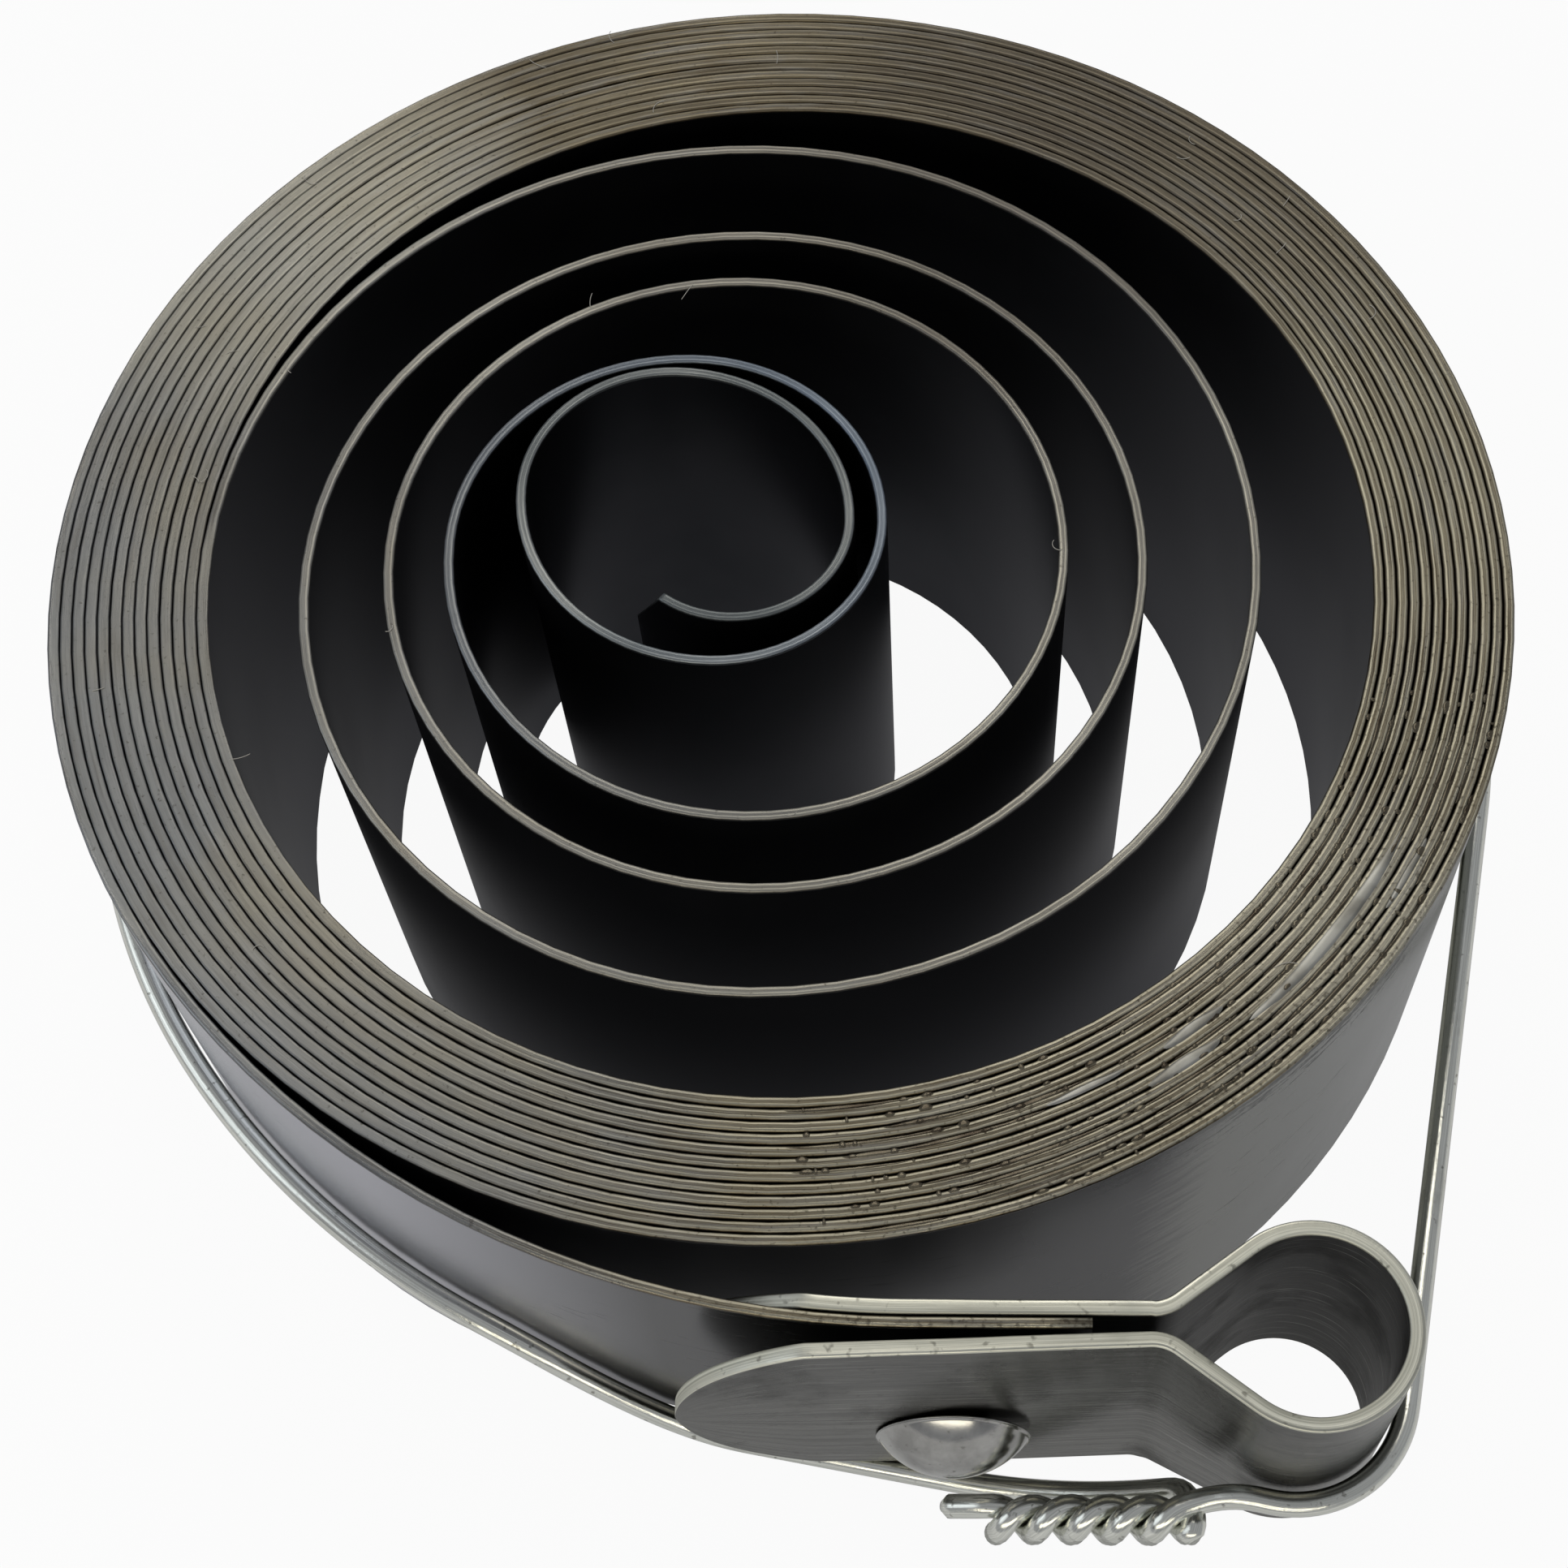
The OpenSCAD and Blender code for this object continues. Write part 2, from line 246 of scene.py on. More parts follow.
def rounded_bar(edge, steps=4):
    """Closed outline of a bar one wide with rounded corners, and guard points on the flats beside them.

    Gives each point's side offset, the sign of its up offset, and what the rounding adds to that, so that
    one outline serves bars of changing height.
    """
    a = np.linspace(0, 90, steps)
    arc = np.stack([cosd(a) - 1, sind(a) - 1], 1) * edge
    guard = 0.35 * edge
    corner = np.concatenate([[[0, -edge - guard]], arc, [[-edge - guard, 0]]])
    sign, keep = [], []
    for sx, sy in ((1, 1), (-1, 1), (-1, -1), (1, -1)):
        part = corner if sx * sy > 0 else corner[::-1]
        sign.append(np.tile([sx, sy], (len(part), 1)))
        keep.append(part * [sx, sy])
    sign = np.concatenate(sign).astype(float)
    keep = np.concatenate(keep)
    return sign[:, 0] / 2 + keep[:, 0], sign[:, 1], keep[:, 1]


def spiral_path(step):
    """Plan points along the whole strip, with outward normals, run from the inner end and bend numbers."""
    rows, normals, number = [], [], []
    for k in range(len(bends.r)):
        n = max(int(np.ceil(np.radians(bends.sweep[k]) * bends.r[k] / min(step, bends.r[k] * 0.085))), 6)
        a = bends.start[k] + bends.sweep[k] * np.arange(n) / n
        out = np.stack([cosd(a), sind(a)], 1)
        rows.append(bends.c[k] + bends.r[k] * out)
        normals.append(out)
        number.append(np.full(n, k))
    n = int(END_LEN / step) + 2
    rows.append(np.stack([np.linspace(TAIL_C[0], END_X, n), np.full(n, LINE_Y)], 1))
    normals.append(np.tile([0.0, -1.0], (n, 1)))
    number.append(np.full(n, len(bends.r)))
    plan = np.concatenate(rows)
    return plan, np.concatenate(normals), run_along(plan), np.concatenate(number)


def make_strip():
    """The rounded strip section carried along the spiral.

    The upper and lower edges follow the cut corners at the inner end and the rise towards the clip. A slow
    wobble along the run lowers the upper edge a little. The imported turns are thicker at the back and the
    left, with sharper edges at the left, so that the lines between them close there.
    """
    plan, normal, run, number = spiral_path(PATH_STEP)
    # more rows along the cut corners at the inner end
    extra = np.linspace(0, CORNER_RUN, 7)[1:]
    a = EYE_START + np.degrees(extra / bends.r[0])
    add = np.stack([cosd(a), sind(a)], 1)
    keep = run > CORNER_RUN + 0.05
    keep[0] = True
    plan = np.concatenate([plan[:1], add * bends.r[0], plan[keep][1:]])
    normal = np.concatenate([normal[:1], add, normal[keep][1:]])
    number = np.concatenate([number[:1], np.zeros(6, int), number[keep][1:]])
    run = run_along(plan)
    high = np.full(len(run), STRIP_W / 2)
    low = -high
    wobble = 0.035 * smooth_noise(run, 95.0, 3) + 0.02 * smooth_noise(run, 31.0, 4)
    inside = (number > 0) & (number < bends.last)
    high = high + np.where(inside, np.minimum(wobble, 0.0) - 0.05, -0.01)
    cut = np.clip(1 - run / CORNER_RUN, 0, 1) * CORNER_DROP
    high = high - cut
    low = low + cut
    rise = np.clip((plan[:, 0] - (END_X - TAPER_FROM)) / TAPER_RUN, 0, 1)
    rise = np.where(number >= bends.last, rise, 0) * np.where(plan[:, 1] < TAIL_C[1], 1, 0)
    low = low + rise * (STRIP_W - END_W)
    packed = (number >= bends.first_packed) & (number < bends.last)
    far = np.clip((plan[:, 1] + 10) / 24, 0, 1)
    left = np.where(packed, np.clip((-plan[:, 0] - 2) / 14, 0, 1), 0)
    thick = np.where(packed, PACK_T + PACK_T_MORE * np.maximum(far, 0.7 * left), LOOSE_T)
    sharp = (1 - 0.35 * left)[:, None]
    side, up_sign, up_keep = rounded_bar(STRIP_EDGE_R, 5)
    side_sign = np.sign(side)
    side_keep = side - 0.5 * side_sign
    off = side_sign * thick[:, None] / 2 + side_keep * sharp
    level = np.where(up_sign > 0, high[:, None], low[:, None]) + up_keep * sharp
    points = upright_bar(plan, normal, off, level)
    around = run_along(np.stack([side, up_sign * STRIP_W / 2 + up_keep], 1))
    uv = np.stack(np.broadcast_arrays(run[:, None] * MM, around[None, :] * MM), -1)
    edge = (np.abs(up_keep) < STRIP_EDGE_R + 0.002) * 1.0
    across = np.abs(off) / (thick[:, None] / 2)
    marks = {
        "run": np.broadcast_to(run[:, None] * MM, level.shape),
        "edge": np.broadcast_to(edge[None, :], level.shape),
        "across": across,
        "outer": np.broadcast_to((side > 0)[None, :] * 1.0, level.shape),
        "depth": (level - FLOOR_Z) / STRIP_W,
        "turn": np.broadcast_to(np.linalg.norm(plan - PACK_C, axis=1)[:, None] / PACK_R, level.shape),
    }
    return grid_object("spring_strip_blued", points[:, ::-1], uv=uv[:, ::-1],
                       marks={k: v[:, ::-1] for k, v in marks.items()})


def clip_line():
    """Mid-line of the folded clip from the rear ear's tip round the loop to the front ear's tip.

    The flanks slope 3 in 4, so they touch the loop's circle at the angles whose sine is 0.8. The front ear
    spreads evenly from its bend to its tip. The rear ear lies along the strip, whose bend leaves the
    straight line by the square of the way over twice the radius.
    """
    bend = np.array([BEND_X, EAR_Y + BEND_R])
    tip = BEND_X - EAR_LEN
    round_end = tip + 0.02 + 4.6 * np.linspace(0, 1, 30) ** 2
    x = np.concatenate([round_end, np.linspace(tip + 4.62, BEND_X, 26)[1:]])
    y = EAR_Y + FRONT_SPREAD * (BEND_X - x) / EAR_LEN
    a = np.linspace(-90, -53.13, 8)[1:]
    arc = bend + BEND_R * np.stack([cosd(a), sind(a)], 1)
    loop_a = np.linspace(126.87, 0, 32)
    loop = LOOP_MID * np.stack([cosd(loop_a), sind(loop_a)], 1)
    slope = arc[-1] + (loop[0] - arc[-1]) * np.linspace(0, 1, 10)[1:-1, None]
    past = np.maximum(TAIL_C[0] - LOOP_C[0] - x, 0)
    rear = EAR_Y + REAR_GAP + past ** 2 / (2 * TAIL_R)
    bow = np.concatenate([arc, slope, loop])
    half = np.concatenate([np.stack([x, y], 1), bow])
    return np.concatenate([np.stack([x, rear], 1), bow, half[::-1][1:] * [1, -1]]), tip


def make_clip():
    """The sheet's rounded section carried along the clip's mid-line.

    Each ear ends in one arc whose centre lies at mid-height. The lower edge rises along the flanks to the
    loop, and less towards the tips of the ears.
    """
    line, tip = clip_line()
    tangent = unit(np.gradient(line, axis=0))
    normal = np.stack([-tangent[:, 1], tangent[:, 0]], 1)
    tip_r = CLIP_W / 2 + TIP_EXTRA
    inset = np.clip(tip_r - (line[:, 0] - tip), 0, tip_r)
    drop = np.maximum(CLIP_W / 2 - np.sqrt(np.maximum(tip_r ** 2 - inset ** 2, 0)), 0)
    lift = np.clip((line[:, 0] - BEND_X - 0.5) / RISE_RUN, 0, 1) * LOOP_RISE
    run = run_along(line)
    high = STRIP_W / 2 - drop - CLIP_TRIM - 0.03 * np.clip(smooth_noise(run, 9.0, 8), 0, 1)
    tip_rise = TIP_LIFT * np.clip((BEND_X - 5 - line[:, 0]) / 8, 0, 1)
    low = CLIP_LOW + np.maximum(drop, lift) + CLIP_TRIM + tip_rise
    side, up_sign, up_keep = rounded_bar(CLIP_EDGE_R)
    side_sign = np.sign(side)
    off = side_sign * (CLIP_T - CLIP_TRIM) / 2 + (side - 0.5 * side_sign)
    level = np.where(up_sign > 0, high[:, None], low[:, None]) + up_keep
    points = upright_bar(LOOP_C + line, normal, off[None, :], level)
    around = run_along(np.stack([side, up_sign * CLIP_W / 2 + up_keep], 1))
    uv = np.stack(np.broadcast_arrays(run[:, None] * MM, around[None, :] * MM), -1)
    edge = (np.abs(up_keep) < CLIP_EDGE_R + 0.002) * 1.0
    marks = {
        "edge": np.broadcast_to(edge[None, :], level.shape),
        "inner": np.broadcast_to((side < 0)[None, :] * 1.0, level.shape),
    }
    return grid_object("loop_clip_bright", points, uv=uv, marks=marks)


def make_rivet():
    """The rivet turned about its axis: a round head with a small rim, a shank and a low, dished tail.

    The head's dome is the sphere through its rim and top.
    """
    top = EAR_FACE + SEAT_GAP
    dome = (HEAD_D ** 2 / 4 + HEAD_H ** 2) / (2 * HEAD_H)
    a = np.linspace(0, np.degrees(np.arcsin((HEAD_D / 2 - 0.03) / dome)), 22)
    head = np.stack([dome * sind(a), top + HEAD_H - dome + dome * cosd(a)], 1)
    rim = np.array([[HEAD_D / 2, top + 0.08], [HEAD_D / 2, top + 0.03], [HEAD_D / 2 - 0.03, top]])
    shank = np.array([[RIVET_D / 2, top], [RIVET_D / 2, -REAR_FACE], [TAIL_D / 2 - 0.05, -REAR_FACE]])
    end = -REAR_FACE - TAIL_H
    tail = np.array([[TAIL_D / 2, -REAR_FACE - 0.05], [TAIL_D / 2, end + 0.15], [TAIL_D / 2 - 0.14, end],
                     [1.0, end], [0.5, end + 0.06], [POLE_R, end + 0.08]])
    head[0, 0] = POLE_R
    profile = np.concatenate([head, rim, shank, tail])
    turn = np.arange(64) * 360 / 64
    r = profile[:, 0][:, None]
    points = np.stack(np.broadcast_arrays(RIVET_X + r * cosd(turn), LINE_Y - profile[:, 1][:, None],
                                          r * sind(turn)), -1)
    return grid_object("rivet_round_head", points)


def ring(centre, radius, a, z):
    """Points on a level circle at the angles a, in degrees."""
    a = np.atleast_1d(np.asarray(a, float))
    return np.stack(np.broadcast_arrays(centre[0] + radius * cosd(a), centre[1] + radius * sind(a), z), -1)


def cubic(p, m, q, n, t):
    """Cubic between the points p and q with the slopes m and n."""
    t = t[:, None]
    return ((2 * t ** 3 - 3 * t ** 2 + 1) * p + (t ** 3 - 2 * t ** 2 + t) * m
            + (3 * t ** 2 - 2 * t ** 3) * q + (t ** 3 - t ** 2) * n)


def wire_path():
    """Centre line of the tie: free end, twist, hook, under the ears, round tail, pack and loop, twist again.

    The ring is the line round the circles of the tail, lead, pack and loop. The front strand climbs with the
    square of its length over its second half. The hook and the last bend are cubics between given slopes.
    The twisted strands are two helices half a turn apart.
    """
    wire_r = WIRE_D / 2
    stand = WIRE_GAP + wire_r
    under = CLIP_LOW - stand
    tail_ring, lead_ring, pack_ring = (r + STRIP_T / 2 + stand for r in (TAIL_R, LEAD_R, PACK_R))
    loop_ring = LOOP_R + CLIP_T + stand
    hook = ring(LOOP_C, loop_ring + 0.82, -142, HOOK_LEVEL)[0]
    to_hook, to_loop = hook[:2] - TAIL_C, LOOP_C - PACK_C
    front = np.degrees(np.arctan2(to_hook[1], to_hook[0]) - np.arccos(tail_ring / np.linalg.norm(to_hook)))
    spread = np.arccos((pack_ring - loop_ring) / np.linalg.norm(to_loop))
    right = np.degrees(np.arctan2(to_loop[1], to_loop[0]) + spread)
    low_point = ring(TAIL_C, tail_ring, front, under)[0]

    def front_strand(t):
        p = low_point + t[:, None] * (hook - low_point)
        p[:, 2] = under + (HOOK_LEVEL - under) * np.clip(2 * t - 1, 0, 1) ** 2
        return p

    base = ring(LOOP_C, loop_ring + TWIST_OFF, -130.5, TWIST_LEVEL)[0]
    axis = np.array([-cosd(TWIST_DROP) * cosd(7.5), cosd(TWIST_DROP) * sind(7.5), -sind(TWIST_DROP)])
    side = unit(np.cross([0, 0, 1], axis))
    up = np.cross(axis, side)
    length = TWISTS * TWIST_PITCH

    def strand(s, phase):
        s = np.atleast_1d(np.asarray(s, float))[:, None]
        turn = phase - 360 * s / TWIST_PITCH
        return base + s * axis + 1.09 * wire_r * (cosd(turn) * side + sind(turn) * up)

    def slope(phase):
        return unit(strand(0.01, phase)[0] - strand(-0.01, phase)[0])

    leave = -106.0
    lead = JOINT - 180
    near = front_strand(np.array([0.98, 1.0]))
    hook_slope = unit(near[1] - near[0])
    leave_slope = np.array([sind(leave), -cosd(leave), 0])
    leave_point = ring(LOOP_C, loop_ring, leave, LOOP_LEVEL)[0]
    rise = np.clip(np.linspace(0, 2.5, 61), 0, 1)
    climb = under + (COIL_LEVEL - under) * rise ** 2 * (3 - 2 * rise)
    parts = [
        strand(length, 323) + np.linspace(STUB_LEN, 0.3, 5)[:, None] * axis,
        strand(np.linspace(length, length / 80, 80), 323),
        cubic(strand(0, 323)[0], -4.2 * slope(323), hook, -2.4 * hook_slope, np.arange(24) / 24),
        front_strand(np.linspace(1, 0, 41)[:-1]),
        ring(TAIL_C, tail_ring, np.linspace(front, lead, 61), climb),
        ring(LEAD_C, lead_ring, np.linspace(lead, -180, 21)[1:], COIL_LEVEL),
        ring(PACK_C, pack_ring, np.linspace(180, right, 81)[1:], COIL_LEVEL),
        ring(LOOP_C, loop_ring, np.linspace(right, leave, 25), LOOP_LEVEL),
        cubic(leave_point, 3.1 * leave_slope, strand(0, 143)[0], 2.7 * slope(143), np.arange(1, 24) / 24),
        strand(np.linspace(0, length, 81), 143),
    ]
    return np.concatenate(parts)


def even_steps(path, step):
    """The same line at even steps, by straight interpolation along its length."""
    s = run_along(path)
    u = np.linspace(0, s[-1], int(s[-1] / step))
    return np.stack([np.interp(u, s, path[:, k]) for k in range(3)], 1), u


def make_wire():
    """A round bar along the tie's line, which is smoothed twice over its neighbours, with narrowed ends."""
    path, run = even_steps(wire_path(), 0.28)
    for _ in range(2):
        path[1:-1] = 0.25 * path[:-2] + 0.5 * path[1:-1] + 0.25 * path[2:]
    ahead = unit(np.gradient(path, axis=0))
    side = unit(np.cross(np.array([0, 0, 1.0]), ahead))
    up = np.cross(ahead, side)
    turn = np.arange(16) * 360 / 16
    radius = (WIRE_D / 2 - WIRE_TRIM) * np.clip(np.minimum(run, run[-1] - run) / 0.25, 0, 1)[:, None] ** 0.3
    radius = np.maximum(radius, 0.2)
    points = path[:, None, :] + radius[..., None] * (cosd(turn)[None, :, None] * side[:, None, :]
                                                     + sind(turn)[None, :, None] * up[:, None, :])
    uv = np.stack(np.broadcast_arrays(run[:, None] * MM, turn[None, :] / 360 * np.pi * WIRE_D * MM), -1)
    return grid_object("binding_wire_bright", points, uv=uv)


def pack_spots(count, low, high, r):
    """Random angles between low and high, each with a radius that lies on a gap between two packed turns."""
    a = r.uniform(low, high, count)
    gap = r.integers(1, PACK_TURNS, count)
    inner = EYE_R + PACK_SWELL + 5.0 * STRIP_T - PACK_GAP / 2
    turn_pitch = STRIP_T + PACK_GAP
    return a, inner + gap * turn_pitch + turn_pitch * ((a % 360) - 180) / 360


def lenses(a, radius, half_l, half_w, top):
    """Flat drops on the pack: each a wavy oval drawn out along its turn, flat on top and round at the rim.

    The height falls from the middle by the sixth power of the share of the way to the rim.
    """
    t = np.array([0.0, 0.4, 0.7, 0.9, 1.0])
    turn = np.arange(18) * 20.0
    wave = 1 + 0.16 * np.sin(np.radians(turn * 3))
    sizes = (a, radius, half_l, half_w, top)
    a, radius, half_l, half_w, top = (np.asarray(v, float)[:, None, None] for v in sizes)
    out = t[None, :, None] * sind(turn) * wave * half_w
    angle = a + np.degrees(t[None, :, None] * cosd(turn) * half_l / radius)
    z = STRIP_W / 2 - 0.062 + top * (1 - t ** 6)[None, :, None] + 0 * angle
    far = radius + out
    return np.stack([PACK_C[0] + far * cosd(angle), PACK_C[1] + far * sind(angle), z], -1)


def make_oil():
    """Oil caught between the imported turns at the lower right: many small beads and some long threads."""
    r = np.random.default_rng(23)
    sheets = []
    for count, length, width, tall, low, high in ((190, (0.05, 0.26), (0.06, 0.14), 0.05, -88, -12),
                                                  (70, (0.5, 2.6), (0.05, 0.10), 0.035, -84, -16)):
        a, radius = pack_spots(count, low, high, r)
        sheets.append(lenses(a, radius, r.uniform(*length, count), r.uniform(*width, count),
                             tall * r.uniform(0.6, 1.0, count)))
    return many_grids("oil_in_the_turns", np.concatenate(sheets))


def make_puddles():
    """The pools that bridge two turns, by angle and radius: a long one at the right, four shorter ones."""
    a = [-37.5, -55.0, -52.5, -63.0, -30.0]
    radius = [24.33, 24.22, 23.36, 23.3, 25.22]
    half_l = [4.7, 1.5, 1.3, 1.5, 1.6]
    half_w = [0.25, 0.22, 0.2, 0.13, 0.13]
    top = [0.04] * len(a)
    return many_grids("oil_pools", lenses(a, radius, half_l, half_w, top))


def make_lint():
    """Fine lint on the edges: short threads with a random curl, lying on the strip's upper edges."""
    r = np.random.default_rng(31)
    count = 26
    plan, _, _, number = spiral_path(PATH_STEP)
    pick = r.choice(np.flatnonzero((number > 4) & (number < bends.last)), count)
    heading = r.uniform(0, 360, count)
    curl = r.uniform(-160, 160, count)
    length = r.uniform(0.3, 0.9, count)
    s = np.linspace(0, 1, 12)
    a = heading[:, None] + curl[:, None] * s
    step = length[:, None, None] / 11 * np.stack([cosd(a), sind(a)], -1)
    line = plan[pick][:, None, :] + np.cumsum(step, 1)
    z = STRIP_W / 2 - 0.045 + 0.02 * np.sin(np.pi * s)[None, :] + 0 * a
    side = np.stack([-sind(a), cosd(a)], -1)
    turn = np.arange(5) * 72.0
    points = np.empty((count, len(s), len(turn), 3))
    points[..., :2] = line[:, :, None, :] + LINT_R * cosd(turn)[:, None] * side[:, :, None, :]
    points[..., 2] = z[..., None] + LINT_R * sind(turn)
    return many_grids("lint_threads", points)


class Value:
    """A shader socket that takes arithmetic: each operator adds a Math node and gives its output."""

    def __init__(self, shader, socket):
        self.shader, self.socket = shader, socket

    def _math(self, operation, a, b):
        return self.shader.node("ShaderNodeMath", {"operation": operation}, {0: a, 1: b})

    def __add__(self, other):
        return self._math("ADD", self, other)

    def __radd__(self, other):
        return self._math("ADD", other, self)

    def __sub__(self, other):
        return self._math("SUBTRACT", self, other)

    def __rsub__(self, other):
        return self._math("SUBTRACT", other, self)

    def __mul__(self, other):
        return self._math("MULTIPLY", self, other)

    def __rmul__(self, other):
        return self._math("MULTIPLY", other, self)

    def __truediv__(self, other):
        return self._math("DIVIDE", self, other)

    def __pow__(self, other):
        return self._math("POWER", self, other)

    def clamp(self):
        return self._math("MINIMUM", self._math("MAXIMUM", self, 0.0), 1.0)


class Finish:
    """One material: its nodes come from one method, and its numbers from Value."""

    def __init__(self, name):
        self.material = bpy.data.materials.new(name)
        self.material.use_nodes = True
        self.tree = self.material.node_tree
        self.tree.nodes.clear()
        self.out = self.tree.nodes.new("ShaderNodeOutputMaterial")

    def node(self, kind, settings=None, sockets=None, output=0):
        n = self.tree.nodes.new(kind)
        for key, value in (settings or {}).items():
            setattr(n, key, value)
        for key, value in (sockets or {}).items():
            if isinstance(value, Value):
                self.tree.links.new(value.socket, n.inputs[key])
            else:
                n.inputs[key].default_value = value
        return Value(self, n.outputs[output])

    def mark(self, name):
        return self.node("ShaderNodeAttribute", {"attribute_name": name}, output=2)

    def place(self):
        return self.node("ShaderNodeTexCoord", output=3)

    def surface_uv(self):
        return self.node("ShaderNodeTexCoord", output=2)

    def split(self, vector):
        first = self.node("ShaderNodeSeparateXYZ", None, {0: vector})
        return tuple(Value(self, part) for part in first.socket.node.outputs)

    def scaled(self, vector, factors):
        return self.node("ShaderNodeVectorMath", {"operation": "MULTIPLY"}, {0: vector, 1: factors})

    def noise(self, vector, scale, detail=4.0, rough=0.55):
        return self.node("ShaderNodeTexNoise", {"noise_dimensions": "3D"},
                         {"Vector": vector, "Scale": scale, "Detail": detail, "Roughness": rough})

    def ramp(self, value, low, high):
        return self.node("ShaderNodeMapRange", {"clamp": True}, {0: value, 1: low, 2: high, 3: 0.0, 4: 1.0})

    def mix(self, factor, a, b):
        return self.node("ShaderNodeMix", {"data_type": "RGBA"}, {0: factor, 6: a, 7: b}, output=2)

    def bump(self, height, strength):
        sockets = {"Height": height, "Strength": strength, "Distance": BUMP_DEPTH}
        return self.node("ShaderNodeBump", None, sockets)

    def metal(self, colour, roughness, normal, **constants):
        sockets = {"Base Color": colour, "Roughness": roughness, "Metallic": 1.0}
        if normal is not None:
            sockets["Normal"] = normal
        sockets.update(constants)
        shader = self.node("ShaderNodeBsdfPrincipled", None, sockets)
        self.tree.links.new(shader.socket, self.out.inputs["Surface"])
        return self.material


